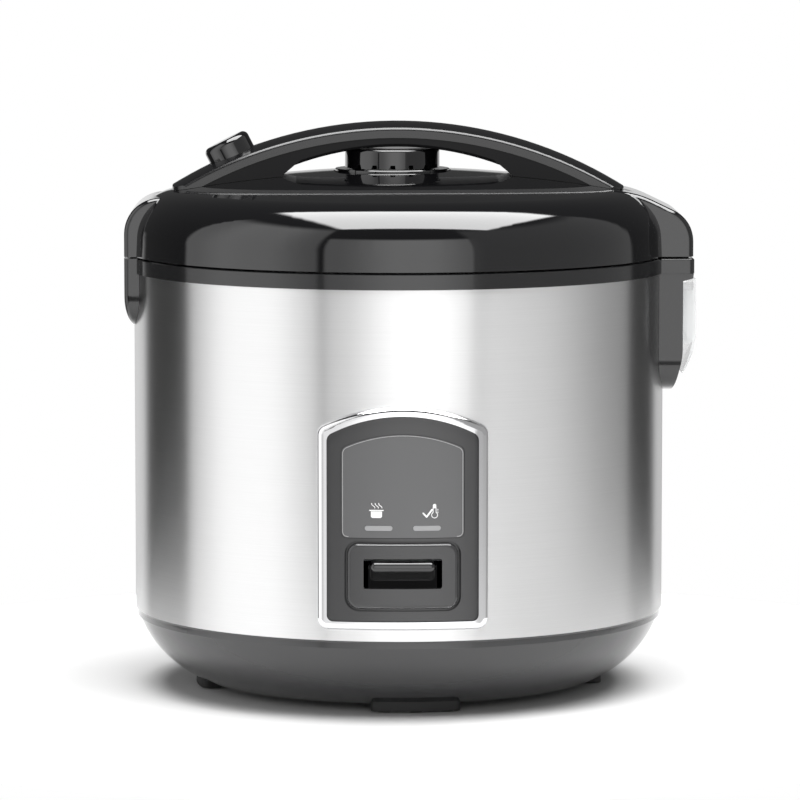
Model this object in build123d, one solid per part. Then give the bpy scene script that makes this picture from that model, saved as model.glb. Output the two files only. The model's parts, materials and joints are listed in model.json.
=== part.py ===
from build123d import *
import os
from math import asin, cos, degrees, radians, sin, sqrt

# Jar-type rice cooker, millimetres. +Z is up, -Y is the front (control panel), -X is the latch side and
# +X the hinge side. The origin is on the body's axis, at the level of the table.

os.makedirs("parts", exist_ok=True)

# ---------------------------------------------------------------- driving dimensions
R_BODY = 140.0          # outside of the steel shell
STEEL_T = 0.8           # sheet thickness of the shell and of the inner liner
Z_STEEL = 42.0          # lower edge of the steel shell
Z_COLLAR = 220.2        # upper edge of the steel shell, where the collar starts
Z_SEAM = 229.0          # parting line between collar and lid
SEAM_GAP = 0.8          # open joint below the lid
WALL = 2.5              # moulded plastic wall
FIT = 0.4               # gap around moving plastic pieces

Z_FLOOR = 4.5           # underside of the base
BOWL_R = 57.0           # radius of the base's rounded side
BOWL_CENTRE = (84.7, 57.9)
FOOT_R = (92.0, 108.0)
FOOT_HALF_ANGLE = 12.6
FOOT_CLOCK = 4.0        # the ring of feet is turned this much about Z

R_LINER = 117.8         # outside of the inner liner
Z_LINER = 80.0          # underside of the liner's floor
R_COLLAR_IN = 120.2
R_POT = 109.0
POT_T = 1.5
POT_CORNER = 22.0
Z_POT = 98.05
POT_TOP = 224.5
R_POT_RIM = 115.5
Z_PLATE = 98.0          # top of the heating plate
PLATE_T = 12.0
R_PLATE = 86.0

LID_TOP = Z_SEAM + 44.5
R_DOME = 677.0          # radius of the lid's crown
SHOULDER_R = 25.0
SHOULDER_X = 116.0
SHOULDER = (SHOULDER_X, LID_TOP - R_DOME + sqrt((R_DOME - SHOULDER_R) ** 2 - SHOULDER_X ** 2))
R_LID = 141.4
LID_BOTTOM = Z_SEAM + 0.1

LATCH_X = -144.2        # outer face of the latch ear
LATCH_HALF = 32.0
LATCH_DROP = 36.8       # how far the latch ear hangs below the seam
EAR_CORNER = 18.0
HINGE_FACE = 154.6      # outer face of the hinge ear
HINGE_HALF = 33.6
HINGE_DROP = 71.0
HINGE_X = 151.4
HINGE_Z = 224.0
KNUCKLE_HALF = 14.5
KNUCKLE_R = 3.0
PIN_R = 1.5
RUN = 0.06              # radial clearance of a running pin

ARCH_X = -1.0           # centre of the handle's arch
ARCH_R = 227.0
ARCH_TOP = 298.9
ARCH_Z = ARCH_TOP - ARCH_R
HANDLE_HALF = 21.0
HANDLE_ENDS = (-119.4, 118.7)
SHELL_SPLIT = 218.9     # arch radius of the joint between the two handle shells
GRIP_R = 155.0          # radius of the underside of the grip
GRIP_TOP = 286.1
GRIP_ROOT = 64.0        # half-width of the finger gap at the lid
GRIP_HALF = 54.0

BUTTON_FOOT = (-88.0, 280.8)
BUTTON_TILT = 27.0
BUTTON_R = 12.5
STEM_R = 3.0

VENT_X = -3.4
VENT_R = 25.0
VENT_TOP = 284.6
VENT_RING_R = 30.3

LATCH_PIVOT = (-127.0, 243.0)
LATCH_LEVER_HALF = 7.0

PANEL_R = 143.6         # front surface of the black panel, measured from the body's axis
PANEL_BACK = R_BODY + 0.1
FRAME_R = 145.3
# outlines of arched pieces: width, lower edge, height of the straight sides, top of the arch
WINDOW = (80.0, 51.0, 143.0, 156.0)
FRAME_OUT = (86.5, 47.9, 150.4, 161.9)
FRAME_IN = (76.8, 52.6, 146.8, 157.0)
PLATE_OUTLINE = (61.7, 95.3, 140.5, 147.6)
SURROUND = (56.2, 33.4)
SURROUND_Z = 75.9
SURROUND_RISE = 1.5     # how far the switch surround stands out of the panel
GROOVE = 1.3            # open groove round it
SLOT_W = 39.7
SLOT_Z = (69.5, 84.8)
BAR_W = 32.8
BAR_Z = (77.9, 83.3)
BAR_FRONT = -146.0
BAR_DEPTH = 12.5
LEVER_Y = -72.0
LEVER_Z = 68.0
LEVER_HALF = 5.0

SKIRT_HALF = 17.4       # sloping plate behind the bar that closes the slot
ROD_R = 2.5             # magnet's rod
FLANGE_Z = 70.0

Z_LAMP = (98.9, 101.5)
LAMP_W = 14.0
LAMP_X = (-12.2, 12.2)

SHELF_X = 144.6         # wall of the housing behind the dew collector
DEW_X = 156.1
DEW_HALF = 26.0
DEW_T = 1.3

BASE_SCREW_R = 1.9
PIN_HALF = 30.0         # half the length of the hinge pin
LINER_HOLE = 26.0
ELEMENT_R = 60.0
TERMINALS = (-28.0, 28.0)
SENSOR_R = 14.0
LID_FLOOR = 233.0       # underside of the lid's inner moulding
HANDLE_SCREWS = [(x, y) for x in (-66, 72) for y in (-13, 13)]

INLET_X = 14.0
INLET_Z = (58.0, 79.5)
INLET_FACE = 142.4
INLET_BACK = 121.0


# ---------------------------------------------------------------- helpers
def disc(r, z0, z1, x=0.0, y=0.0):
    return Pos(x, y, (z0 + z1) / 2) * Cylinder(r, z1 - z0)


def ring(r0, r1, z0, z1, x=0.0, y=0.0):
    return disc(r1, z0, z1, x, y) - disc(r0, z0 - 1, z1 + 1, x, y)


def block(x, y, z):
    size = [b - a for a, b in (x, y, z)]
    mid = [(a + b) / 2 for a, b in (x, y, z)]
    return Pos(*mid) * Box(*size)


def arc(centre, r, start, end):
    return CenterArc(centre, r, start, end - start)


def turned(*edges):
    """Solid of revolution about Z of an outline drawn as radius and height."""
    return revolve(Plane.XZ * make_face(Curve() + list(edges)), Axis.Z)


def turned_points(*points):
    return revolve(Plane.XZ * make_face(Polyline(*points, close=True)), Axis.Z)


def along_y(face, half):
    """Prism of an X-Z outline, reaching half to each side of the X-Z plane."""
    return extrude(Plane.XZ * face, half, both=True)


def along_x(face, x0, x1):
    """Prism of a Y-Z outline between two X planes."""
    return Pos(x0, 0, 0) * extrude(Plane.YZ * face, x1 - x0)


def coil(r, wire, z0, z1, turns, x=0.0, y=0.0):
    """Helical spring about Z."""
    height = z1 - z0 - 2 * wire
    path = Helix(height / turns, height, r)
    section = Plane(path @ 0, z_dir=path % 0) * Circle(wire)
    return Pos(x, y, z0 + wire) * sweep(section, path)


def save(name, shape):
    export_step(shape, "parts/" + name + ".step")


# ---------------------------------------------------------------- shared outlines
def lid_body(extra):
    """Everything under the lid's crown, grown outwards by extra."""
    tilt = degrees(asin(SHOULDER[0] / (R_DOME - SHOULDER_R)))
    dome = (0, LID_TOP - R_DOME)
    edges = [
        arc(dome, R_DOME + extra, 90, 90 - tilt),
        arc(SHOULDER, SHOULDER_R + extra, 90 - tilt, 0),
        Line((SHOULDER[0] + SHOULDER_R + extra, SHOULDER[1]), (R_LID + extra, LID_BOTTOM)),
        Line((R_LID + extra, LID_BOTTOM), (0, LID_BOTTOM)),
        Line((0, LID_BOTTOM), (0, LID_TOP + extra)),
    ]
    return turned(*edges)


def latch_ear_face(inset):
    """X-Z outline of the lid's half of the latch ear."""
    centre = (-125.3, Z_SEAM + 12)
    r = centre[0] - LATCH_X - inset
    foot = (centre[0] - r, LID_BOTTOM)
    side = (centre[0] - r, centre[1])
    crown = (centre[0], centre[1] + r)
    inner = (-100, crown[1])
    base = (-100, LID_BOTTOM)
    edges = [Line(base, foot), Line(foot, side), arc(centre, r, 180, 90)]
    edges += [Line(crown, inner), Line(inner, base)]
    return make_face(Curve() + edges)


def hinge_ear_face(inset):
    """X-Z outline of the lid's half of the hinge ear."""
    centre = (136.0, Z_SEAM + 8)
    r = HINGE_FACE - 0.6 - centre[0] - inset
    top = radians(65.6)
    start = (centre[0] + r * cos(top), centre[1] + r * sin(top))
    side = (centre[0] + r, centre[1])
    foot = (centre[0] + r, LID_BOTTOM)
    far = (112.0, Z_SEAM + 35.0 - inset)
    middle = (124.7, Z_SEAM + 32.6 - inset)
    slope = Spline(start, middle, far, tangents=((-sin(top), cos(top)), (-1, 0.17)))
    base = (112.0, LID_BOTTOM)
    edges = [Line(base, foot), Line(foot, side), arc(centre, r, 0, 65.6), slope, Line(far, base)]
    return make_face(Curve() + edges)


def soften(prism, x_limit, radius):
    """Round the long outer edges of an ear, where its flat sides meet its outer face."""
    picked = []
    for face in (prism.faces().sort_by(Axis.Y)[0], prism.faces().sort_by(Axis.Y)[-1]):
        for edge in face.edges():
            middle = edge @ 0.5
            if abs(middle.X) > x_limit and middle.Z > LID_BOTTOM + 0.5:
                picked.append(edge)
    return fillet(picked, radius)


def arched(width, z0, z_side, z_top, bottom_r, top_r):
    """Panel outline in X and Z: straight sides, a round-arched top and rounded corners."""
    h = width / 2
    top = ThreePointArc((h, z_side), (0, z_top), (-h, z_side))
    edges = [Line((-h, z0), (h, z0)), Line((h, z0), (h, z_side)), top, Line((-h, z_side), (-h, z0))]
    face = make_face(Curve() + edges)
    corners = face.vertices().sort_by(Axis.Y)
    face = fillet(corners[:2], bottom_r)
    return fillet([v for v in face.vertices() if abs(v.Y - z_side) < 0.01], top_r)


def front_skin(face, r0, r1):
    """A piece of the front wall between two radii, cut to an X-Z outline."""
    prism = Pos(0, -R_BODY / 2, 0) * extrude(Plane.XZ * face, R_BODY / 2 + 20)
    return prism & ring(r0, r1, 30, 200)


def u_shape(half, z0, z1, corner):
    """Y-Z outline of an ear that hangs down, with two large lower corners."""
    face = make_face(Polyline((-half, z1), (-half, z0), (half, z0), (half, z1), close=True))
    return fillet(face.vertices().sort_by(Axis.Y)[:2], corner)


# ---------------------------------------------------------------- base
def base_outline(inset):
    r = BOWL_R - inset
    rim_angle = -degrees(asin((BOWL_CENTRE[1] - Z_STEEL) / r))
    floor_angle = -degrees(asin((BOWL_CENTRE[1] - Z_FLOOR - inset) / r))
    cx, cz = BOWL_CENTRE
    rim = (cx + r * cos(radians(rim_angle)), Z_STEEL)
    low = (cx + r * cos(radians(floor_angle)), Z_FLOOR + inset)
    edges = [
        Line((0, Z_STEEL), rim),
        arc(BOWL_CENTRE, r, rim_angle, floor_angle),
        Line(low, (0, Z_FLOOR + inset)),
        Line((0, Z_FLOOR + inset), (0, Z_STEEL)),
    ]
    return turned(*edges)


def base_shell():
    """Bowl with a spigot that locates the steel shell, and screw bosses inside."""
    body = base_outline(0) - base_outline(WALL)
    body += ring(R_BODY - STEEL_T - 0.1 - WALL, R_BODY - STEEL_T - 0.1, Z_STEEL - 4, Z_STEEL + 7)
    for angle in (60, 180, 300):
        x, y = 70 * cos(radians(angle)), 70 * sin(radians(angle))
        body += ring(BASE_SCREW_R, 5.0, Z_FLOOR + WALL - 0.5, 30, x, y)
        body -= disc(BASE_SCREW_R, Z_FLOOR - 1, 20, x, y)
    for row in range(-3, 4):
        slot = extrude(SlotOverall(34, 3), 6)
        body -= Pos(0, row * 8, Z_FLOOR - 1) * slot
    return body


def foot(angle):
    """Rubber pad that follows the underside of the bowl, with two small nubs beneath."""
    pad = ring(FOOT_R[0], FOOT_R[1], 0.8, 9)
    reach = 160.0
    spread = reach * sin(radians(FOOT_HALF_ANGLE)) / cos(radians(FOOT_HALF_ANGLE))
    wedge = extrude(make_face(Polyline((0, 0), (reach, -spread), (reach, spread), close=True)), 12)
    pad = pad & wedge
    pad = fillet(pad.edges().filter_by(Axis.Z), 3)
    for side in (-1, 1):
        nub_angle = radians(side * 9)
        pad += disc(4.2, 0, 2, 101 * cos(nub_angle), 101 * sin(nub_angle))
    pad += disc(4.2, 0, 2, 101, 0)
    return Rot(0, 0, angle) * pad - base_outline(0)


def base_screws():
    group = []
    for angle in (60, 180, 300):
        x, y = 70 * cos(radians(angle)), 70 * sin(radians(angle))
        head = disc(3.4, Z_FLOOR - 2.0, Z_FLOOR, x, y)
        cross = block((x - 2, x + 2), (y - 0.4, y + 0.4), (Z_FLOOR - 2.5, Z_FLOOR - 1.2))
        cross += block((x - 0.4, x + 0.4), (y - 2, y + 2), (Z_FLOOR - 2.5, Z_FLOOR - 1.2))
        group.append(head + disc(BASE_SCREW_R, Z_FLOOR, 18, x, y) - cross)
    return Compound(group)


# ---------------------------------------------------------------- body


def outer_shell():
    shell = ring(R_BODY - STEEL_T, R_BODY, Z_STEEL, Z_COLLAR)
    shell -= front_skin(arched(*WINDOW, 3, 4), R_BODY - 4, R_BODY + 4)
    return shell - block((-INLET_X, INLET_X), (100, 160), INLET_Z)


def collar_ring():
    """Deck, inner wall and spigot, with the latch ear and the hinge ear's cheeks in one moulding."""
    top = Z_SEAM - SEAM_GAP
    spigot = R_BODY - STEEL_T - 0.1
    body = turned_points(
        (R_COLLAR_IN, 208), (R_COLLAR_IN + 2, 208), (R_COLLAR_IN + 2, top - 3), (spigot - WALL, top - 3),
        (spigot - WALL, 211), (spigot, 211), (spigot, Z_COLLAR), (R_LID - 0.2, Z_COLLAR), (R_LID - 0.2, top),
        (R_COLLAR_IN, top))
    body = chamfer(body.edges().filter_by(GeomType.CIRCLE).sort_by(Axis.Z)[-2:], 0.5)

    z0 = Z_SEAM - LATCH_DROP
    side = along_x(u_shape(LATCH_HALF, z0, top, EAR_CORNER), LATCH_X, -132)
    points = ((LATCH_X, Z_SEAM - 20), (LATCH_X + 0.9, Z_SEAM - 29), (-139.5, z0))
    curve = Spline(*points, tangents=((0, -1), (0.6, -0.6)))
    outline = Curve() + [
        Line((-132, top), (LATCH_X, top)),
        Line((LATCH_X, top), (LATCH_X, Z_SEAM - 20)),
        curve,
        Line((-139.5, z0), (-132, z0)),
        Line((-132, z0), (-132, top)),
    ]
    ear = side & along_y(make_face(outline), 50)
    long_edges = [e for e in ear.edges() if abs(abs((e @ 0.5).Y) - LATCH_HALF) < 0.01 and (e @ 0.5).X < -143]
    ear = fillet(long_edges, 2.5)
    body += ear - disc(R_BODY + 0.05, 0, Z_COLLAR + 0.01) - disc(R_BODY - 1, Z_COLLAR, 240)

    hinge = block((130, HINGE_FACE), (-HINGE_HALF, HINGE_HALF), (Z_COLLAR, top)) - disc(R_BODY - 1, 200, 240)
    hinge = fillet([e for e in hinge.edges().filter_by(Axis.Z) if (e @ 0.5).X > HINGE_FACE - 0.1], 3)
    rim = [e for e in hinge.edges() if (e @ 0.5).X > HINGE_FACE - 1.5 and (e @ 0.5).Z > top - 0.01]
    body += fillet(rim, 1.2)
    body -= block((HINGE_X - 6, 170), (-KNUCKLE_HALF - 0.5, KNUCKLE_HALF + 0.5), (Z_COLLAR - 1, 240))
    body -= Pos(HINGE_X, 0, HINGE_Z) * Rot(90, 0, 0) * Cylinder(PIN_R, 2 * PIN_HALF)
    return body - block((-137.6, -130.2), (-LATCH_LEVER_HALF - 1, LATCH_LEVER_HALF + 1), (216.5, 240))


def hinge_housing():
    """Pad below the hinge ear that carries the dew collector."""
    z0 = Z_SEAM - HINGE_DROP
    top = Z_COLLAR - 0.1
    side = along_x(u_shape(HINGE_HALF - 0.4, z0, top, EAR_CORNER), 125, 160)
    curve = Spline((148.6, 180), (146.9, 169), (143.6, z0), tangents=((0, -1), (-0.5, -1)))
    outline = Curve() + [
        Line((125, top), (HINGE_FACE - 0.4, top)),
        Line((HINGE_FACE - 0.4, top), (HINGE_FACE - 0.8, 217.6)),
        Line((HINGE_FACE - 0.8, 217.6), (148.6, 216.2)),
        Line((148.6, 216.2), (148.6, 180)),
        curve,
        Line((143.6, z0), (125, z0)),
        Line((125, z0), (125, top)),
    ]
    body = (side & along_y(make_face(outline), 50)) - disc(R_BODY + 0.05, 0, 240)
    notch = block((SHELF_X, 170), (-DEW_HALF - FIT, DEW_HALF + FIT), (182.0, 212.0))
    lower_corner = notch.edges().filter_by(Axis.Y).sort_by(Axis.X)[:2].sort_by(Axis.Z)[0]
    return body - fillet(lower_corner, 2.0)


def hinge_pin():
    return Pos(HINGE_X, 0, HINGE_Z) * Rot(90, 0, 0) * Cylinder(PIN_R, 2 * PIN_HALF)


def lid_spring():
    """Torsion spring between the two knuckles, with one leg in the lid and one in the collar."""
    body = coil(2.2, 0.35, -5.5, 5.5, 9)
    return Pos(HINGE_X, 0, HINGE_Z) * Rot(90, 0, 0) * body


def inner_liner():
    """Sheet cup that shields the body from the heat."""
    cup = ring(R_LINER - STEEL_T, R_LINER, Z_LINER, 222)
    cup += ring(R_LINER - STEEL_T, R_COLLAR_IN - 0.1, 221.2, 222)
    cup += ring(LINER_HOLE, R_LINER, Z_LINER, Z_LINER + STEEL_T)
    for x in TERMINALS:
        cup -= disc(3.4, Z_LINER - 1, Z_LINER + 2, x, sqrt(ELEMENT_R ** 2 - x ** 2))
    return cup


# ---------------------------------------------------------------- heating


def heating_plate():
    z0 = Z_PLATE - PLATE_T
    body = disc(R_PLATE, z0, Z_PLATE) - disc(SENSOR_R + 1.5, z0 - 1, Z_PLATE + 1)
    body = fillet(body.edges().filter_by(GeomType.CIRCLE).sort_by(Axis.Z)[-1:], 1.0)
    return body - ring(ELEMENT_R - 4, ELEMENT_R + 4, z0 - 1, z0 + 8)


def heating_element():
    """Tubular element in the plate's groove; its two cold ends turn down through the liner's floor."""
    z = Z_PLATE - PLATE_T + 3.6
    body = Pos(0, 0, z) * Torus(ELEMENT_R, 3.5)
    gap_y = ELEMENT_R * cos(radians(25))
    body -= block((-20, 20), (gap_y, 80), (z - 5, z + 5))
    for x in TERMINALS:
        body += disc(2.6, Z_LINER - 12, z, x, sqrt(ELEMENT_R ** 2 - x ** 2))
    return body


def plate_spacers():
    places = [(74 * cos(radians(a)), 74 * sin(radians(a))) for a in (30, 150, 270)]
    return Compound([disc(4, Z_LINER + STEEL_T, Z_PLATE - PLATE_T, x, y) for x, y in places])


def thermostat_bracket():
    body = ring(8.9, LINER_HOLE + 5, Z_LINER - 1.5, Z_LINER)
    return body - block((-7, 7), (8, 40), (70, 90))


def sensor_cap():
    """Spring-loaded cap that touches the pot's underside, with a tube that guides the magnet."""
    body = disc(SENSOR_R, 88, Z_PLATE)
    body = fillet(body.edges().filter_by(GeomType.CIRCLE).sort_by(Axis.Z)[-1:], 1.2)
    body += disc(8.4, 80.2, 88)
    return body - disc(7.2, 79, Z_PLATE - 1.5)


def sensor_spring():
    return coil(10.6, 0.6, Z_LINER, 88, 4)


def magnet_rod():
    body = disc(ROD_R, 60, 80.5)
    body += disc(5.5, FLANGE_Z, FLANGE_Z + 1.4)
    return body + disc(4.0, 60, 61.5)


def magnet():
    body = disc(6.5, 80.5, 86.5)
    return chamfer(body.edges().filter_by(GeomType.CIRCLE), 0.5)


def warm_heater():
    """Keep-warm band around the liner, open at the back where it is clamped."""
    band = ring(R_LINER, R_LINER + 1.6, 150, 168)
    band -= block((-4, 4), (100, 130), (140, 180))
    for x in (-7, 4):
        band += block((x, x + 3), (117.9, 126), (154, 164))
    return band


def thermal_fuse():
    body = Pos(30, 45, 75.5) * Rot(0, 90, 0) * Cylinder(2.2, 16)
    strap = block((26, 34), (42, 48), (73.0, Z_LINER))
    return body + strap - (Pos(30, 45, 75.5) * Rot(0, 90, 0) * Cylinder(1.2, 17))


def inner_pot():
    r, z = R_POT, Z_POT
    t = POT_T
    corner = POT_CORNER
    edges = [
        Line((0, z), (r - corner, z)),
        arc((r - corner, z + corner), corner, 270, 360),
        Line((r, z + corner), (r, POT_TOP - t)),
        Line((r, POT_TOP - t), (R_POT_RIM, POT_TOP - t)),
        Line((R_POT_RIM, POT_TOP - t), (R_POT_RIM, POT_TOP)),
        Line((R_POT_RIM, POT_TOP), (r - t, POT_TOP)),
        Line((r - t, POT_TOP), (r - t, z + corner)),
        arc((r - corner, z + corner), corner - t, 0, -90),
        Line((r - corner, z + t), (0, z + t)),
        Line((0, z + t), (0, z)),
    ]
    return turned(*edges)


# ---------------------------------------------------------------- front panel and switch


def rounded(width, height, z, radius):
    return Pos(0, z) * RectangleRounded(width, height, radius)


def panel_frame():
    body = front_skin(arched(*FRAME_OUT, 6, 6), PANEL_BACK, FRAME_R)
    rim = [e for e in body.edges() if FRAME_R - 0.05 < sqrt((e @ 0.5).X ** 2 + (e @ 0.5).Y ** 2)]
    body = fillet(rim, 3.6)
    return body - front_skin(arched(*FRAME_IN, 3.2, 4.5), R_BODY - 5, FRAME_R + 5)


def control_panel():
    width, z0, z_side, z_top = FRAME_IN
    face = arched(width - 0.3, z0 + 0.15, z_side - 0.15, z_top - 0.15, 3, 4.3)
    body = front_skin(face, PANEL_BACK, PANEL_R)
    width, z0, z_side, z_top = PLATE_OUTLINE
    seat = arched(width + 0.6, z0 - 0.3, z_side + 0.3, z_top + 0.3, 3.3, 4.3)
    body -= front_skin(seat, PANEL_R - 1.2, PANEL_R + 5)
    groove = rounded(SURROUND[0] + 2 * GROOVE, SURROUND[1] + 2 * GROOVE, SURROUND_Z, 6 + GROOVE)
    body -= front_skin(groove, PANEL_R - 2.0, PANEL_R + 5)
    body -= front_skin(rounded(SLOT_W + 4, 22, 76.8, 2), R_BODY - 5, PANEL_R + 5)
    for x in LAMP_X:
        body -= lamp_solid(x, R_BODY - 6, R_BODY + 9, 0)
    return body


def lamp_solid(x, r0, r1, shrink):
    outline = Pos(x, sum(Z_LAMP) / 2) * SlotOverall(LAMP_W - 2 * shrink, Z_LAMP[1] - Z_LAMP[0] - 2 * shrink)
    return front_skin(outline, r0, r1)


def panel_window():
    body = front_skin(arched(*PLATE_OUTLINE, 3, 4), PANEL_R - 1.2, PANEL_R - 0.1)
    for x in LAMP_X:
        body -= lamp_solid(x, R_BODY - 6, R_BODY + 9, 0)
    return body


def lamp(x):
    """Light pipe that ends flush in the window."""
    return lamp_solid(x, R_BODY - 5, PANEL_R, 0.05)


def lamp_board():
    board = block((-30, 30), (-131.4, -129.8), (88, 112))
    for x in LAMP_X:
        board += Pos(x, -131.8, sum(Z_LAMP) / 2) * Rot(90, 0, 0) * Cylinder(1.1, 1.2)
    for x in (-26, 26):
        board += block((x - 2, x + 2), (-139.0 if abs(x) < 20 else -136.0, -131.4), (103, 107))
    return board


def switch_surround():
    """Raised surround of the cook switch, with a wide bevel all round."""
    face_r = PANEL_R + SURROUND_RISE
    body = front_skin(rounded(*SURROUND, SURROUND_Z, 6), PANEL_R - 2.0, face_r)
    rim = [e for e in body.edges() if face_r - 0.05 < sqrt((e @ 0.5).X ** 2 + (e @ 0.5).Y ** 2)]
    body = fillet(rim, 2.2)
    slot_z = sum(SLOT_Z) / 2
    return body - front_skin(rounded(SLOT_W, SLOT_Z[1] - SLOT_Z[0], slot_z, 1.2), R_BODY - 5, PANEL_R + 5)


def cook_lever():
    """Rocker: bar in the panel, sloping skirt behind it, arm under the liner and fork at the rod."""
    z_mid = sum(BAR_Z) / 2
    bar = Pos(0, BAR_FRONT, z_mid) * extrude(Plane.XZ * SlotOverall(BAR_W, BAR_Z[1] - BAR_Z[0]), -BAR_DEPTH)
    bar = fillet(bar.edges().group_by(Axis.Y)[0], 2.3)
    arm_z = (LEVER_Z - 3, LEVER_Z + 1)
    slope = [(-138.4, LEVER_Z), (-137.0, LEVER_Z), (-131.6, 82.5), (-133.0, 82.5)]
    skirt = make_face(Polyline(*slope, close=True))
    skirt = Pos(-SKIRT_HALF, 0, 0) * extrude(Plane.YZ * skirt, 2 * SKIRT_HALF)
    foot = block((-LEVER_HALF, LEVER_HALF), (-138.4, -134), arm_z)
    arm = block((-LEVER_HALF, LEVER_HALF), (-136, 8), arm_z)
    boss = Pos(0, LEVER_Y, LEVER_Z) * Rot(0, 90, 0) * Cylinder(4.5, 2 * LEVER_HALF)
    body = bar + skirt + foot + arm + boss
    body -= block((-ROD_R - 0.6, ROD_R + 0.6), (-ROD_R - 0.8, 20), (50, 90))
    return body - Pos(0, LEVER_Y, LEVER_Z) * Rot(0, 90, 0) * Cylinder(2 + RUN, 40)


def lever_bracket():
    """Two cheeks hung from the liner's floor."""
    body = block((-9, 9), (LEVER_Y - 8, LEVER_Y + 8), (Z_LINER - 1.5, Z_LINER))
    for side in (-1, 1):
        x = sorted((side * 5.6, side * 7.4))
        body += block(x, (LEVER_Y - 6, LEVER_Y + 6), (LEVER_Z - 5, Z_LINER - 1))
    return body - Pos(0, LEVER_Y, LEVER_Z) * Rot(0, 90, 0) * Cylinder(2, 40)


def lever_pin():
    return Pos(0, LEVER_Y, LEVER_Z) * Rot(0, 90, 0) * Cylinder(2, 16)


def micro_switch():
    body = block((-3.2, 3.2), (-56, -36), (75.0, Z_LINER))
    return body + block((-1.2, 1.2), (-50, -47.5), (71.8, 75.2))


# ---------------------------------------------------------------- power inlet and wiring


def power_inlet():
    """Appliance inlet at the back, with a socket for a three-pin lead."""
    z_mid = sum(INLET_Z) / 2
    flange = block((-19, 19), (R_BODY - 3, INLET_FACE), (z_mid - 14, z_mid + 14))
    flange -= disc(R_BODY + 0.05, 0, 200)
    flange = fillet(flange.edges().filter_by(Axis.Y), 3)
    body = flange + block((-13.6, 13.6), (INLET_BACK, INLET_FACE), (INLET_Z[0] + 0.3, INLET_Z[1] - 0.3))
    socket = block((-11.8, 11.8), (INLET_BACK + 3, 170), (z_mid - 8.4, z_mid + 8.4))
    body -= chamfer(socket.edges().filter_by(Axis.Y).sort_by(Axis.Z)[-2:], 3.5)
    for blade in inlet_blades():
        body -= blade
    return body


def inlet_blades():
    z_mid = sum(INLET_Z) / 2
    places = ((-7, z_mid - 1.5), (7, z_mid - 1.5), (0, z_mid + 2.5))
    return [block((x - 1, x + 1), (INLET_BACK - 5, INLET_FACE - 4), (z - 2, z + 2)) for x, z in places]


def inlet_pins():
    return Compound(inlet_blades())


def inner_wiring():
    """Leads from the inlet to the element's two cold ends."""
    z = sum(INLET_Z) / 2 - 1.5
    leads = []
    for side in (-1, 1):
        x = TERMINALS[0] if side < 0 else TERMINALS[1]
        end_y = sqrt(ELEMENT_R ** 2 - x ** 2)
        points = [(side * 7, 115.4, z), (side * 9, 104, z - 1), (side * 21, 84, z - 6), (x, 62, z - 9)]
        points += [(x, end_y, Z_LINER - 22), (x, end_y, Z_LINER - 12)]
        path = FilletPolyline(*points, radius=5)
        section = Plane(path @ 0, z_dir=path % 0) * Circle(1.2)
        leads.append(sweep(section, path))
    return Compound(leads)


# ---------------------------------------------------------------- lid
def stem_line(r, length):
    """Rod or bore along the release button's axis, from the handle's surface inwards."""
    rod = Pos(0, 0, -length / 2) * Cylinder(r, length)
    return Pos(BUTTON_FOOT[0], 0, BUTTON_FOOT[1]) * Rot(0, -BUTTON_TILT, 0) * rod


def dome_height(x, y):
    return LID_TOP - (x * x + y * y) / (2 * R_DOME)


def lid_cover():
    """Domed cover with both ears in one moulding."""
    latch = soften(along_y(latch_ear_face(0), LATCH_HALF), 101, 2.5)
    hinge = soften(along_y(hinge_ear_face(0), HINGE_HALF), 113, 3)
    body = lid_body(0) + latch + hinge
    body -= lid_body(-WALL)
    body -= along_y(latch_ear_face(WALL), LATCH_HALF - WALL)
    body -= along_y(hinge_ear_face(WALL), HINGE_HALF - WALL)
    body -= disc(R_LID - WALL - 0.1, 200, LID_BOTTOM + 0.5)
    body -= disc(VENT_R - 1, 260, 280, VENT_X)
    body -= disc(VENT_RING_R + 0.7, LID_TOP - 1.6, 280, VENT_X)
    body -= stem_line(STEM_R + FIT, 30)
    for x, y in HANDLE_SCREWS:
        body -= disc(1.6, 255, 280, x, y)
    return body


def lid_hinge_arm():
    """Two knuckles on a foot that is fixed inside the hinge ear."""
    ear_wall = HINGE_FACE - 0.6 - WALL
    foot = block((HINGE_X - 8, ear_wall), (-KNUCKLE_HALF, KNUCKLE_HALF), (LID_BOTTOM, LID_BOTTOM + 7))
    foot += block((HINGE_X - 2.6, HINGE_X + 1.4), (-KNUCKLE_HALF, KNUCKLE_HALF), (HINGE_Z, LID_BOTTOM))
    foot += Pos(HINGE_X, 0, HINGE_Z) * Rot(90, 0, 0) * Cylinder(KNUCKLE_R, 2 * KNUCKLE_HALF)
    foot -= block((HINGE_X - 5, HINGE_X + 5), (-6, 6), (200, LID_BOTTOM))
    return foot - Pos(HINGE_X, 0, HINGE_Z) * Rot(90, 0, 0) * Cylinder(PIN_R + RUN, 80)


def lid_liner():
    """Inside cover of the lid, with a skirt around the inner lid plate."""
    body = disc(R_LID - WALL - 0.6, LID_FLOOR, LID_FLOOR + 2) - disc(8.8, 200, 250, VENT_X)
    body += ring(R_POT_RIM + 0.6, R_POT_RIM + 2.4, 230, LID_FLOOR + 0.5)
    slot = block((-142, -122), (-LATCH_LEVER_HALF - 1, LATCH_LEVER_HALF + 1), (225, 240))
    posts = []
    for side in (-1, 1):
        y = sorted((side * (LATCH_LEVER_HALF + 1.2), side * (LATCH_LEVER_HALF + 3.6)))
        posts.append(block((LATCH_PIVOT[0] - 4, LATCH_PIVOT[0] + 4), y, (LID_FLOOR, LATCH_PIVOT[1] + 4)))
    for post in posts:
        body += post
    body -= slot
    return body - Pos(LATCH_PIVOT[0], 0, LATCH_PIVOT[1]) * Rot(90, 0, 0) * Cylinder(PIN_R, 60)


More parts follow.
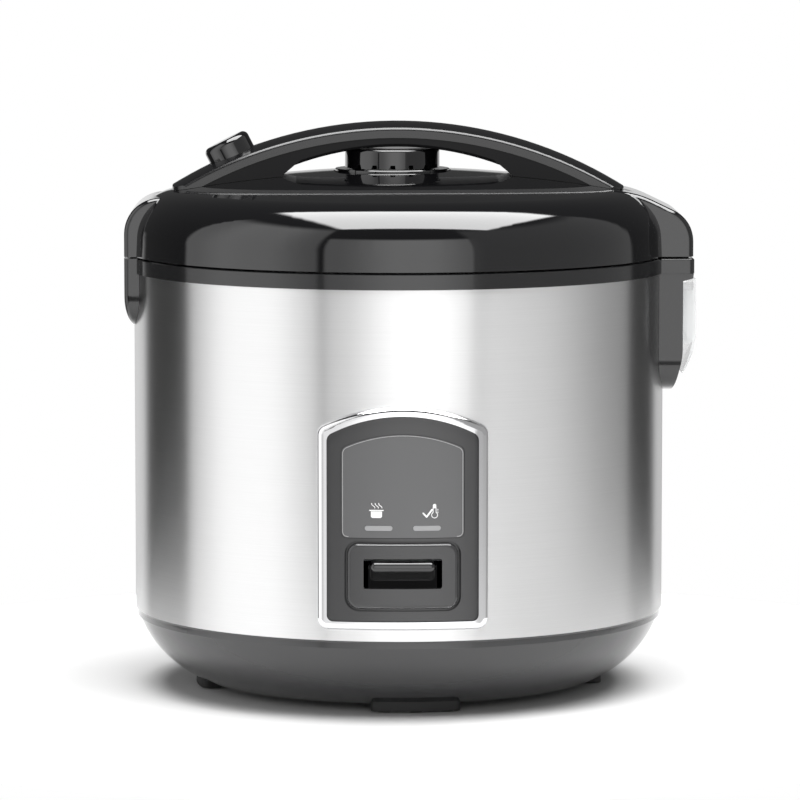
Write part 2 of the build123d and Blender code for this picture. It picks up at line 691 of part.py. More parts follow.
def latch_pin():
    length = 2 * (LATCH_LEVER_HALF + 3.6)
    return Pos(LATCH_PIVOT[0], 0, LATCH_PIVOT[1]) * Rot(90, 0, 0) * Cylinder(PIN_R, length)


def latch_hook():
    """Bell crank: an arm under the button's stem and a hook that reaches into the collar."""
    px, pz = LATCH_PIVOT
    half = LATCH_LEVER_HALF
    tip = (-76.0, 262.2)
    arm = [
        (px - 3, pz - 2), (px + 3, pz - 4), (tip[0], tip[1] - 3.4), (tip[0] + 3, tip[1] - 2.0),
        (tip[0] + 3, tip[1]), (tip[0] - 7, tip[1]), (px + 2, pz + 4.5), (px - 3, pz + 3),
    ]
    body = along_y(make_face(Polyline(*arm, close=True)), half)
    body += Pos(px, 0, pz) * Rot(90, 0, 0) * Cylinder(4.5, 2 * half)
    hook = [
        (px - 8.4, pz - 26.2), (px - 4.2, pz - 26.2), (px - 3.6, pz - 24), (px - 3.6, pz - 20.5),
        (px - 5.6, pz - 19.6), (px - 5.6, pz - 12), (px + 1, pz - 2), (px - 4, pz + 1), (px - 8.4, pz - 10),
    ]
    body += along_y(make_face(Polyline(*hook, close=True)), half)
    return body - Pos(px, 0, pz) * Rot(90, 0, 0) * Cylinder(PIN_R + RUN, 60)


def inner_lid_plate():
    """Removable aluminium plate inside the lid, with a pressed ring of steam holes."""
    body = disc(R_POT_RIM - 5.6, 229.6, 230.8) - disc(6.1, 220, 240, VENT_X)
    for k in range(8):
        body -= disc(1.6, 220, 240, 34 * cos(radians(45 * k)), 34 * sin(radians(45 * k)))
    return body


def lid_gasket():
    """Silicone ring with a lip that rests just above the pot's rim."""
    r = R_POT_RIM
    return turned_points((r - 5.5, LID_FLOOR), (r - 5.5, 228.2), (r - 3.4, 226.0), (r - 2.2, POT_TOP + 0.35),
                         (r - 1.2, POT_TOP + 0.35), (r - 0.4, 227.0), (r + 0.3, 229.0), (r + 0.3, LID_FLOOR))


def lid_grommet():
    """Rubber plug that holds the inner lid plate on the lid's centre."""
    body = disc(9.5, 227.8, 229.6, VENT_X) + disc(6.0, 229.6, 230.8, VENT_X)
    body += disc(9.5, 230.8, LID_FLOOR, VENT_X) + disc(8.7, LID_FLOOR, 236, VENT_X)
    return body - disc(4.5, 220, 240, VENT_X)


def vent_base():
    """Cup in the lid's crown that the steam cap plugs into, with a tube down to the grommet."""
    top = LID_TOP + 0.5
    body = ring(22.6, VENT_RING_R, LID_TOP - 1.5, top, VENT_X)
    body = chamfer(body.edges().filter_by(GeomType.CIRCLE).sort_by(Axis.Z)[-2:], 0.4)
    body += ring(22.6, VENT_R - 1.2, 259, LID_TOP, VENT_X)
    body += disc(VENT_R - 1.2, 257, 259, VENT_X)
    body += disc(6.4, 236, 258, VENT_X)
    body -= disc(4.5, 230, 262, VENT_X)
    for k in range(4):
        tab = block((VENT_RING_R - 1.2, VENT_RING_R + 0.4), (-2.5, 2.5), (LID_TOP - 1.4, top))
        body += Pos(VENT_X, 0, 0) * Rot(0, 0, 45 + 90 * k) * tab
    return body


def vent_cap():
    """Round steam cap: a plug in the vent base, a flat crown and slots around its lower edge."""
    low = LID_TOP + 0.9
    body = disc(VENT_R, low, VENT_TOP, VENT_X)
    body = fillet(body.edges().filter_by(GeomType.CIRCLE).sort_by(Axis.Z)[-1:], 1.6)
    body += disc(22.2, 262, low, VENT_X)
    body -= disc(20.2, 255, VENT_TOP - 2.2, VENT_X)
    for k in range(16):
        slot = block((VENT_R - 6, VENT_R + 2), (-1.2, 1.2), (low + 0.0001, low + 2.0))
        body -= Pos(VENT_X, 0, 0) * Rot(0, 0, 22.5 * k) * slot
    return body


# ---------------------------------------------------------------- handle
def arch_sector(r):
    """X-Z region under an arch of this radius about the handle's centre."""
    return Pos(ARCH_X, ARCH_Z) * Circle(r)


def finger_gap(grow):
    """X-Z region of the space between grip and lid."""
    centre = (ARCH_X, GRIP_TOP - GRIP_R)
    r = GRIP_R + grow
    half = GRIP_HALF
    z = centre[1] + sqrt(r * r - half * half)
    a = degrees(asin(half / r))
    root = GRIP_ROOT + grow
    points = [(ARCH_X + half, z), (ARCH_X + root, 268), (ARCH_X + root, 250)]
    points += [(ARCH_X - root, 250), (ARCH_X - root, 268), (ARCH_X - half, z)]
    return make_face(Curve() + [arc(centre, r, 90 + a, 90 - a), Polyline(*points)])


def handle_space():
    """Hollow inside the two handle shells."""
    space = along_y(arch_sector(ARCH_R - 4.9), HANDLE_HALF - 2.9)
    space &= block((HANDLE_ENDS[0] + 9, HANDLE_ENDS[1] - 9), (-30, 30), (240, 320))
    return space - along_y(finger_gap(2.4), 40) - lid_body(2.4)


def handle_upper():
    """Crowned upper shell that runs out to both tips."""
    half = HANDLE_HALF
    z = ARCH_Z
    rim = z + ARCH_R - 3.0
    split = z + SHELL_SPLIT
    crown = ThreePointArc((-half, rim), (0, z + ARCH_R), (half, rim))
    sides = Polyline((half, rim), (half, split), (-half, split), (-half, rim))
    section = fillet(make_face(Curve() + [crown, sides]).vertices().sort_by(Axis.Y)[-2:], 2.6)
    section = Pos(ARCH_X, 0, 0) * (Plane.YZ * section)
    axis = Axis((ARCH_X, 0, ARCH_Z), (0, 1, 0))
    body = revolve(section.rotate(axis, -36), axis, 72)
    length = HANDLE_ENDS[1] - HANDLE_ENDS[0]
    middle = sum(HANDLE_ENDS) / 2
    plan = Pos(middle, 0, 240) * extrude(RectangleRounded(length, 2 * half + 4, 15), 80)
    body = (body & plan) - lid_body(0.1) - along_y(hinge_ear_face(-0.1), 40) - handle_space()
    hole = stem_line(BUTTON_R + FIT, 12)
    return body - Pos(-3 * sin(radians(BUTTON_TILT)), 0, 3 * cos(radians(BUTTON_TILT))) * hole


def handle_lower():
    """Lower shell: the underside of the grip and the two roots that stand on the lid."""
    body = along_y(arch_sector(SHELL_SPLIT - 0.1), HANDLE_HALF - 0.3)
    body &= block((-104, 104), (-30, 30), (255, 300))
    body = body - along_y(finger_gap(0), 40) - lid_body(0.1)
    under = [e for e in body.edges() if abs((e @ 0.5).X - ARCH_X) < 10 and (e @ 0.5).Z < GRIP_TOP + 1]
    body = fillet(under, 1.6)
    body -= handle_space()
    body -= disc(VENT_R + 1.2, 250, VENT_TOP + 0.8, VENT_X)
    body -= stem_line(STEM_R + FIT, 30)
    button_room = Pos(3 * sin(radians(BUTTON_TILT)), 0, -3 * cos(radians(BUTTON_TILT)))
    body -= button_room * stem_line(BUTTON_R + 1.2, 6)
    for x, y in HANDLE_SCREWS:
        body -= disc(1.5, 255, dome_height(x, y) + 7.5, x, y)
    return body


def handle_screws():
    group = []
    for x, y in HANDLE_SCREWS:
        under = dome_height(x, y) - WALL - 0.6
        group.append(disc(1.5, under, dome_height(x, y) + 7, x, y) + disc(2.9, under - 2, under, x, y))
    return Compound(group)


def release_button():
    """Round button with a dished glossy top and a stem through the lid."""
    cap = Pos(0, 0, 3.25) * Cylinder(BUTTON_R, 11.5)
    cap = fillet(cap.edges().filter_by(GeomType.CIRCLE).sort_by(Axis.Z)[-1:], 3.2)
    cap -= Pos(0, 0, -1.5) * Cylinder(BUTTON_R - 2, 6)
    stem = Pos(0, 0, -7.5) * Cylinder(STEM_R, 21)
    return Pos(BUTTON_FOOT[0], 0, BUTTON_FOOT[1]) * Rot(0, -BUTTON_TILT, 0) * (cap + stem)


def button_spring():
    """Return spring around the stem, between the handle's floor and the button."""
    body = coil(5.0, 0.5, -9.2, 1.4, 5)
    return Pos(BUTTON_FOOT[0], 0, BUTTON_FOOT[1]) * Rot(0, -BUTTON_TILT, 0) * body


# ---------------------------------------------------------------- dew collector
def dew_collector():
    """Clear cup that hangs outside the hinge housing and slides off outwards."""
    t = DEW_T
    low = 166.0
    skin_out = Curve() + [
        Line((DEW_X - 0.4, 217.0), (DEW_X, 190)),
        Spline((DEW_X, 190), (154.2, 178), (149.8, low), tangents=((0, -1), (-0.35, -1))),
        Line((149.8, low), (149.2, low + 0.4)),
        Spline((149.2, low + 0.4), (152.8, 178), (DEW_X - t, 190), tangents=((0.35, 1), (0, 1))),
        Line((DEW_X - t, 190), (DEW_X - t - 0.4, 217.0)),
        Line((DEW_X - t - 0.4, 217.0), (DEW_X - 0.4, 217.0)),
    ]
    half = DEW_HALF
    skin = along_y(make_face(skin_out), half)
    skin &= along_x(u_shape(half, low, 217.0, EAR_CORNER - 4), 140, 165)
    tank = block((SHELF_X + FIT, DEW_X - t), (-half, half), (183.0, 211.0))
    tank = fillet(tank.edges().filter_by(Axis.Y).sort_by(Axis.Z)[:2], 2.4)
    room = block((SHELF_X + FIT + t, DEW_X - t), (-half + t, half - t), (183.0 + t, 230))
    tank = tank - room
    for side in (-1, 1):
        y = sorted((side * (half - t - 0.8), side * (half - t + 0.1)))
        tank += block((149.8, 151.2), y, (183.0 + t - 0.1, 211.0))
    return skin + tank


# ---------------------------------------------------------------- write every piece
for index, place in enumerate(("right", "rear", "left", "front")):
    save("foot_" + place, foot(90 * index + FOOT_CLOCK))

PIECES = (
    base_shell, base_screws, outer_shell, collar_ring, hinge_housing, hinge_pin, lid_spring,
    inner_liner, heating_plate, heating_element, plate_spacers, thermostat_bracket, sensor_cap,
    sensor_spring, magnet_rod, magnet, warm_heater, thermal_fuse, inner_pot, panel_frame,
    control_panel, panel_window, lamp_board, switch_surround, cook_lever, lever_bracket, lever_pin,
    micro_switch, power_inlet, inlet_pins, inner_wiring, lid_cover, lid_hinge_arm, lid_liner,
    latch_pin, latch_hook, inner_lid_plate, lid_gasket, lid_grommet, vent_base, vent_cap,
    handle_upper, handle_lower, handle_screws, release_button, button_spring, dew_collector,
)
for piece in PIECES:
    save(piece.__name__, piece())
for name, x in zip(("cook_lamp", "warm_lamp"), LAMP_X):
    save(name, lamp(x))
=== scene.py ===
"""Looks for the rice cooker: materials, printed icons, coil springs, studio light and the camera."""

import json
from math import asin, cos, hypot, pi, radians, sin, sqrt

import bmesh
import bpy
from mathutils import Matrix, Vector


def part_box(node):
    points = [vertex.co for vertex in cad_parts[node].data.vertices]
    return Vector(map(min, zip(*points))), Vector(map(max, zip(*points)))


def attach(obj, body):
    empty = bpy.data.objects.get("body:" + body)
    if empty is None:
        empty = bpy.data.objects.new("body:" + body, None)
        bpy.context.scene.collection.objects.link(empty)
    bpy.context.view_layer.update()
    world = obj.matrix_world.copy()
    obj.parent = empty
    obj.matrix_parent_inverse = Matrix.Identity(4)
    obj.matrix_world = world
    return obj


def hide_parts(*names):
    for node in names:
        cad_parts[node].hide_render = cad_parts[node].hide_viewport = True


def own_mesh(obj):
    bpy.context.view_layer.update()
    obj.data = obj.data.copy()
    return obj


MM = 0.001

# the camera, in metres: distance in front of the cooker's axis, height, downward tilt, turn about the axis
# and shift to the side
CAMERA_DISTANCE = 2.591
CAMERA_HEIGHT = 0.4173
CAMERA_TILT = radians(5.88)
CAMERA_TURN = radians(0.85)
CAMERA_SIDE = 0.0007
LENS = 220.5
SENSOR = 36.0

# noise patterns of the moulded plastics: clouds in the colour, smears in the gloss, scuffs on the edges
# and fine grain
CLOUD_SCALE = 9.0
SMEAR_SCALE = 22.0
SCUFF_SCALE = 60.0
GRAIN_SCALE = 2600.0
GRAIN_DEPTH = 0.00004
# worn edges: bevel radius in metres, and how far the normal has to bend for no wear and for full wear
EDGE_RADIUS = 0.0006
EDGE_LOW = 0.02
EDGE_HIGH = 0.22

# printed icons on the panel's plate, in millimetres; heights are measured from ICON_Z and widths from
# each icon's own x
ICON_Z = 108.4
PRINT_LIFT = 0.06
PRINT_DEPTH = 0.05
DOT_LIFT = PRINT_LIFT + 0.004
DOT_SIDES = 16
FINE_STROKE = 0.36

POT_ICON_X = -13.3
POT_HALF = 2.8
POT_TOP = 0.4
POT_BOTTOM = -2.9
POT_CORNER = 0.6
LID_LINE_HALF = 3.4
LID_LINE_Z = 0.9
LID_LINE_WIDTH = 0.55
WISP_SHIFTS = (-0.8, 1.0, 2.8)
WISP_FOOT = 2.1
WISP_POINTS = 7
WISP_RISE = 0.4          # height between two points of a wisp
WISP_LEAN = 0.28         # how far each point leans to the left of the last one
WISP_SWAY = 0.28         # half the width of its waves
WISP_WAVE = 1.1          # radians of wave between two points

TICK_ICON_X = 12.5
TICK = ((-2.2, -0.6), (-0.5, -2.4), (2.2, 1.2))
TICK_WIDTH = 0.85
THERMOMETER_X = 16.0
TUBE_HALF = 0.75
TUBE_TOP = 2.4
BULB_R = 1.5
BULB_Z = -1.5
BULB_STEPS = 24
CAP_HALF = TUBE_HALF + 0.1
CAP_LOW = 1.9
CAP_SHOULDER = 3.6
CAP_TOP = 4.1
MARK_HEIGHTS = (-0.3, 0.5, 1.3)
MARK_START = TUBE_HALF + 0.6
MARK_END = TUBE_HALF + 1.1
MARK_WIDTH = 0.3

# fine line printed inside the plate's edge, in millimetres
PLATE_MARGIN = 0.55
ARCH_RISE = 7.1
ARCH_STEPS = 24
LOW_CORNER = 2.6
HIGH_CORNER = 2.4
CORNER_STEPS = 6
EDGE_LINE_WIDTH = 0.3

# wound springs, in metres
COIL_STEPS = 40          # rings for each turn
WIRE_SIDES = 10
SENSOR_WIRE = 0.0006
SENSOR_TURNS = 4
BUTTON_WIRE = 0.0005
BUTTON_TURNS = 5
BUTTON_COIL_R = 0.005
BUTTON_COIL_LENGTH = 0.0104

# floor disc and studio light
FLOOR_R = 0.36
FILL = 0.05
LOWEST_OVERHEAD = 0.05   # the overhead patch ends at this sine of the height
# brightness, then the ranges of x / z and y / z that the patch covers overhead, and its soft margin
OVERHEAD = [(9.0, (-0.43, 0.69), (-0.62, 0.36), 0.04)]
# brightness, azimuth range (0 in front, + to the right) and height range in degrees, then both soft margins
BOXES = [
    (0.75, (-104, -35.5), (-75, 50), 1.5, 5),
    (0.55, (-90, -48), (-75, 50), 12, 5),
    (0.85, (-32.5, 31), (-80, 30), 1.0, 3),
    (0.8, (-14, 24), (-80, 30), 14, 3),
    (0.32, (31, 118), (-80, 48), 2.0, 5),
    (1.1, (20, 86), (-80, -10), 26, 5),
    (-1.5, (-34, 36), (-33, -17), 6, 4),
    (0.75, (-181, -144), (-40, 3), 5, 1.5),
    (0.6, (146, 181), (-40, 3), 5, 1.5),
]

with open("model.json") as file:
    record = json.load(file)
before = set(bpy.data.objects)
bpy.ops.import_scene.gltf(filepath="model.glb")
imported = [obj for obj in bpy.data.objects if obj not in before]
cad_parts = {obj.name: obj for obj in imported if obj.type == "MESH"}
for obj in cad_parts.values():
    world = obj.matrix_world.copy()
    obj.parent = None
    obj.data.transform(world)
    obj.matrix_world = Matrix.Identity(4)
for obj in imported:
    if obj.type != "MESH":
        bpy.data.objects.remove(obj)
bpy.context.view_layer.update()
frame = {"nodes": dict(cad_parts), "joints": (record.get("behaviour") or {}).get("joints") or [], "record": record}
nodes = frame["nodes"]
slot_of = {row["node"]: row["material_slot"] for row in frame["record"]["subparts"]}


# ---------------------------------------------------------------- node helpers
class Tree:
    """A few short ways to add nodes to one material or world."""

    def __init__(self, tree):
        self.nodes = tree.nodes
        self.links = tree.links

    def add(self, kind, **values):
        node = self.nodes.new(kind)
        for key, value in values.items():
            setattr(node, key, value)
        return node

    def put(self, source, target):
        self.links.new(source, target)

    def math(self, operation, a, b=None):
        node = self.add("ShaderNodeMath", operation=operation)
        for socket, value in zip(node.inputs, (a, b)):
            if value is None:
                continue
            if isinstance(value, (int, float)):
                socket.default_value = value
            else:
                self.put(value, socket)
        return node.outputs[0]

    def ramp(self, value, low, high, out_low=0.0, out_high=1.0):
        """A smooth step from out_low, at low, to out_high, at high."""
        node = self.add("ShaderNodeMapRange", interpolation_type="SMOOTHSTEP")
        self.put(value, node.inputs["Value"])
        limits = {"From Min": low, "From Max": high, "To Min": out_low, "To Max": out_high}
        for name, number in limits.items():
            node.inputs[name].default_value = number
        return node.outputs[0]

    def window(self, value, low, high, soft):
        """1 between low and high and 0 outside, with soft edges."""
        rise = self.ramp(value, low - soft, low + soft)
        fall = self.ramp(value, high - soft, high + soft, 1.0, 0.0)
        return self.math("MULTIPLY", rise, fall)

    def noise(self, scale, detail=3.0, stretch=(1, 1, 1)):
        coords = self.add("ShaderNodeTexCoord")
        mapping = self.add("ShaderNodeMapping")
        mapping.inputs["Scale"].default_value = stretch
        self.put(coords.outputs["Object"], mapping.inputs["Vector"])
        node = self.add("ShaderNodeTexNoise")
        node.inputs["Scale"].default_value = scale
        node.inputs["Detail"].default_value = detail
        self.put(mapping.outputs["Vector"], node.inputs["Vector"])
        return node.outputs["Fac"]

    def mix(self, factor, a, b):
        """A colour between a and b; b is a colour, and a is a colour or a socket."""
        node = self.add("ShaderNodeMix", data_type="RGBA")
        self.put(factor, node.inputs["Factor"])
        if isinstance(a, bpy.types.NodeSocket):
            self.put(a, node.inputs[6])
        else:
            node.inputs[6].default_value = (*a, 1)
        node.inputs[7].default_value = (*b, 1)
        return node.outputs[2]

    def bump(self, height, strength, distance):
        node = self.add("ShaderNodeBump")
        node.inputs["Strength"].default_value = strength
        node.inputs["Distance"].default_value = distance
        self.put(height, node.inputs["Height"])
        return node.outputs["Normal"]

    def worn_edge(self):
        """1 along sharp edges and 0 on flat areas, from the bevelled normal against the true one."""
        bevel = self.add("ShaderNodeBevel", samples=4)
        bevel.inputs["Radius"].default_value = EDGE_RADIUS
        true = self.add("ShaderNodeNewGeometry")
        dot_product = self.add("ShaderNodeVectorMath", operation="DOT_PRODUCT")
        self.put(bevel.outputs["Normal"], dot_product.inputs[0])
        self.put(true.outputs["Normal"], dot_product.inputs[1])
        gap = self.math("SUBTRACT", 1.0, dot_product.outputs["Value"])
        return self.ramp(gap, EDGE_LOW, EDGE_HIGH)


# ---------------------------------------------------------------- materials
def new_material(name):
    material = bpy.data.materials.new(name)
    material.use_nodes = True
    tree = Tree(material.node_tree)
    shader = material.node_tree.nodes["Principled BSDF"]
    return material, tree, shader


def shades(colour, spread):
    """A darker and a paler version of a colour."""
    return [c * (1 - spread) for c in colour], [min(1.0, c * (1 + spread)) for c in colour]


def moulded(name, colour, roughness, grain=0.0, coat=0.0, wear=0.0, spread=0.06):
    """Injection-moulded plastic: faint cloudiness, uneven gloss, a fine grain and paler edges."""
    material, tree, shader = new_material(name)
    tint = tree.mix(tree.noise(CLOUD_SCALE, 4.0), *shades(colour, spread))
    if wear:
        scuff = tree.ramp(tree.noise(SCUFF_SCALE, 5.0), 0.35, 0.65, 0.0, wear)
        scuffed = [min(1.0, c * 2.2 + 0.03) for c in colour]
        tint = tree.mix(tree.math("MULTIPLY", tree.worn_edge(), scuff), tint, scuffed)
    tree.put(tint, shader.inputs["Base Color"])
    smear = tree.noise(SMEAR_SCALE, 6.0)
    tree.put(tree.ramp(smear, 0.3, 0.7, roughness * 0.92, roughness * 1.1), shader.inputs["Roughness"])
    if grain:
        tree.put(tree.bump(tree.noise(GRAIN_SCALE, 2.0), grain, GRAIN_DEPTH), shader.inputs["Normal"])
    shader.inputs["IOR"].default_value = 1.5
    shader.inputs["Coat Weight"].default_value = coat
    shader.inputs["Coat Roughness"].default_value = 0.03
    return material


def metal(name, colour, roughness, grain_scale=300.0, bump=0.1, spread=0.08):
    """Plain metal with an uneven finish."""
    material, tree, shader = new_material(name)
    grain = tree.noise(grain_scale, 4.0)
    tree.put(tree.mix(grain, *shades(colour, spread)), shader.inputs["Base Color"])
    uneven = tree.ramp(tree.noise(14.0, 5.0), 0.3, 0.7, roughness * 0.8, roughness * 1.25)
    tree.put(uneven, shader.inputs["Roughness"])
    tree.put(tree.bump(grain, bump, 0.00003), shader.inputs["Normal"])
    shader.inputs["Metallic"].default_value = 1.0
    return material


def brushed_steel():
    """Steel wrap brushed round the body: grooves run level, so highlights spread upwards and downwards."""
    material, tree, shader = new_material("brushed_steel_wrap")
    long_lines = tree.noise(1.0, 3.0, (9, 9, 5200))
    short_lines = tree.noise(1.0, 2.0, (45, 45, 11000))
    long_part = tree.math("MULTIPLY", long_lines, 0.6)
    short_part = tree.math("MULTIPLY", short_lines, 0.4)
    lines = tree.math("ADD", long_part, short_part)
    tint = tree.mix(tree.ramp(lines, 0.3, 0.7), (0.71, 0.71, 0.71), (0.75, 0.75, 0.75))
    tree.put(tint, shader.inputs["Base Color"])
    tree.put(tree.ramp(lines, 0.3, 0.7, 0.285, 0.315), shader.inputs["Roughness"])
    tree.put(tree.bump(lines, 0.05, 0.00002), shader.inputs["Normal"])
    tangent = tree.add("ShaderNodeTangent", direction_type="RADIAL", axis="Z")
    tree.put(tangent.outputs["Tangent"], shader.inputs["Tangent"])
    shader.inputs["Metallic"].default_value = 1.0
    shader.inputs["Anisotropic"].default_value = 0.9
    shader.inputs["Anisotropic Rotation"].default_value = 0.25
    return material


def clear_plastic():
    """Clear moulded cup: see-through, slightly milky, with a smooth gloss."""
    material, tree, shader = new_material("clear_cup")
    tint = tree.mix(tree.noise(18.0, 3.0), (0.90, 0.92, 0.93), (0.97, 0.98, 0.98))
    tree.put(tint, shader.inputs["Base Color"])
    tree.put(tree.ramp(tree.noise(40.0, 4.0), 0.3, 0.7, 0.04, 0.10), shader.inputs["Roughness"])
    shader.inputs["IOR"].default_value = 1.49
    shader.inputs["Alpha"].default_value = 0.42
    shader.inputs["Coat Weight"].default_value = 0.5
    return material


def printed_ink(name, low, high):
    """Screen-printed ink, a little uneven."""
    material, tree, shader = new_material(name)
    tree.put(tree.mix(tree.noise(900.0, 3.0), [low] * 3, [high] * 3), shader.inputs["Base Color"])
    shader.inputs["Roughness"].default_value = 0.55
    tree.put(tree.bump(tree.noise(2500.0, 2.0), 0.15, 0.00002), shader.inputs["Normal"])
    return material


def circuit_board():
    """Green solder mask with paler traces."""
    material, tree, shader = new_material("board_mask")
    traces = tree.ramp(tree.noise(1.0, 0.0, (500, 500, 60)), 0.52, 0.56)
    tree.put(tree.mix(traces, (0.01, 0.09, 0.03), (0.03, 0.2, 0.08)), shader.inputs["Base Color"])
    tree.put(tree.bump(traces, 0.2, 0.00004), shader.inputs["Normal"])
    shader.inputs["Roughness"].default_value = 0.35
    return material


def pale_floor():
    """Plain pale studio floor."""
    material, tree, shader = new_material("pale_floor")
    tree.put(tree.mix(tree.noise(30.0), (0.6, 0.6, 0.6), (0.62, 0.62, 0.62)), shader.inputs["Base Color"])
    shader.inputs["Roughness"].default_value = 0.6
    shader.inputs["Specular IOR Level"].default_value = 0.2
    return material


MATERIALS = {
    "lid_black": moulded("lid_gloss_black", (0.0045, 0.0045, 0.005), 0.06, coat=0.7, wear=0.15),
    "handle_black": moulded("handle_gloss_black", (0.005, 0.005, 0.0055), 0.2, coat=0.3, wear=0.2),
    "collar_black": moulded("collar_gloss_black", (0.009, 0.009, 0.0095), 0.14,
                            grain=0.1, coat=0.5, wear=0.2),
    "base_grey": moulded("base_gloss_grey", (0.035, 0.035, 0.036), 0.16, grain=0.1, coat=0.4, wear=0.2),
    "steel": brushed_steel(),
    "chrome": metal("chrome_plate", (0.86, 0.86, 0.87), 0.05, bump=0.02, spread=0.02),
    "panel_black": moulded("panel_satin_black", (0.03, 0.03, 0.031), 0.2, grain=0.15, coat=0.3, wear=0.2),
    "window_grey": moulded("plate_satin_grey", (0.1, 0.1, 0.102), 0.24, spread=0.02),
    "lamp_lens": moulded("lamp_lens_grey", (0.3, 0.3, 0.305), 0.3, grain=0.1),
    "clear_plastic": clear_plastic(),
    "rubber_black": moulded("foot_rubber", (0.008, 0.008, 0.008), 0.6, grain=0.6),
    "silicone": moulded("silicone_grey", (0.42, 0.42, 0.4), 0.5, grain=0.4, spread=0.08),
    "aluminium": metal("satin_aluminium", (0.62, 0.62, 0.63), 0.3, 420.0, bump=0.04, spread=0.03),
    "pot_coating": metal("non_stick_coating", (0.06, 0.06, 0.063), 0.38, 1400.0, bump=0.3, spread=0.25),
    "zinc_sheet": metal("galvanised_sheet", (0.42, 0.43, 0.44), 0.36, 90.0, bump=0.08, spread=0.12),
    "zinc_steel": metal("plated_steel", (0.5, 0.5, 0.5), 0.3, 500.0, bump=0.12),
    "inner_plastic": moulded("inner_moulding", (0.02, 0.02, 0.02), 0.42, grain=0.5, wear=0.3),
    "circuit_board": circuit_board(),
    "brass": metal("inlet_brass", (0.62, 0.47, 0.2), 0.25, 500.0),
    "wire_sleeve": moulded("wire_sleeve_grey", (0.4, 0.4, 0.37), 0.5, grain=0.4),
}
WHITE_INK = printed_ink("white_ink", 0.72, 0.9)
GREY_INK = printed_ink("grey_ink", 0.30, 0.42)
# the handle's lower shell has the same slot as the upper one, in a duller finish
LOWER_SHELL = moulded("handle_dull_black", (0.004, 0.004, 0.0045), 0.34, grain=0.3, wear=0.2)
LOWER_SHELL.node_tree.nodes["Principled BSDF"].inputs["Specular IOR Level"].default_value = 0.18
for node, slot in slot_of.items():
    nodes[node].data.materials.clear()
    nodes[node].data.materials.append(LOWER_SHELL if node == "handle_lower" else MATERIALS[slot])


# ---------------------------------------------------------------- printed icons
plate_low, plate_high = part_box("panel_window")
PLATE_R = -plate_low[1] / MM


def finish_mesh(mesh, name, material, body):
    """Turns a bmesh into a piece that rides on a body."""
    bmesh.ops.recalc_face_normals(mesh, faces=mesh.faces)
    data = bpy.data.meshes.new(name)
    mesh.to_mesh(data)
    mesh.free()
    piece = bpy.data.objects.new(name, data)
    bpy.context.scene.collection.objects.link(piece)
    data.materials.append(material)
    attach(piece, body)
    return piece


def on_plate(x, z, lift):
    """The point in front of (x, z) on the plate's curved face, lift away from it."""
    r = PLATE_R + lift
    angle = asin(x / PLATE_R)
    return Vector((r * sin(angle) * MM, -r * cos(angle) * MM, z * MM))


def slab(mesh, outline, lift=PRINT_LIFT):
    """A closed thin slab over an outline, curved with the plate."""
    front = [mesh.verts.new(on_plate(x, z, lift)) for x, z in outline]
    back = [mesh.verts.new(on_plate(x, z, lift - PRINT_DEPTH)) for x, z in outline]
    mesh.faces.new(front)
    mesh.faces.new(back[::-1])
    for i in range(len(outline)):
        j = (i + 1) % len(outline)
        mesh.faces.new([front[j], front[i], back[i], back[j]])


def dot(mesh, x, z, r):
    """A round slab, a hair proud of the lines that meet in it."""
    angles = [2 * pi * i / DOT_SIDES for i in range(DOT_SIDES)]
    slab(mesh, [(x + r * cos(angle), z + r * sin(angle)) for angle in angles], DOT_LIFT)


def stroke(mesh, points, width, closed=False):
    """A flat printed line through (x, z) points with round corners and ends."""
    count = len(points)
    for i in range(count if closed else count - 1):
        x0, z0 = points[i]
        x1, z1 = points[(i + 1) % count]
        length = hypot(x1 - x0, z1 - z0)
        side_x = (z0 - z1) / length * width / 2
        side_z = (x1 - x0) / length * width / 2
        slab(mesh, [(x0 + side_x, z0 + side_z), (x1 + side_x, z1 + side_z),
                    (x1 - side_x, z1 - side_z), (x0 - side_x, z0 - side_z)])
    for x, z in points:
        dot(mesh, x, z, width / 2)


def pot_icon():
    """A small pot under a wide lid line, with three leaning wisps of steam."""
    mesh = bmesh.new()
    x, z = POT_ICON_X, ICON_Z
    inner = POT_HALF - POT_CORNER
    low = z + POT_BOTTOM
    slab(mesh, [(x - POT_HALF, z + POT_TOP), (x + POT_HALF, z + POT_TOP), (x + POT_HALF, low + POT_CORNER),
                (x + inner, low), (x - inner, low), (x - POT_HALF, low + POT_CORNER)])
    stroke(mesh, [(x - LID_LINE_HALF, z + LID_LINE_Z), (x + LID_LINE_HALF, z + LID_LINE_Z)], LID_LINE_WIDTH)
    for shift in WISP_SHIFTS:
        wisp = []
        for step in range(WISP_POINTS):
            sway = WISP_SWAY * sin(step * WISP_WAVE) - WISP_LEAN * step
            wisp.append((x + shift + sway, z + WISP_FOOT + step * WISP_RISE))
        stroke(mesh, wisp, FINE_STROKE)
    finish_mesh(mesh, "pot_icon", WHITE_INK, "cooker")


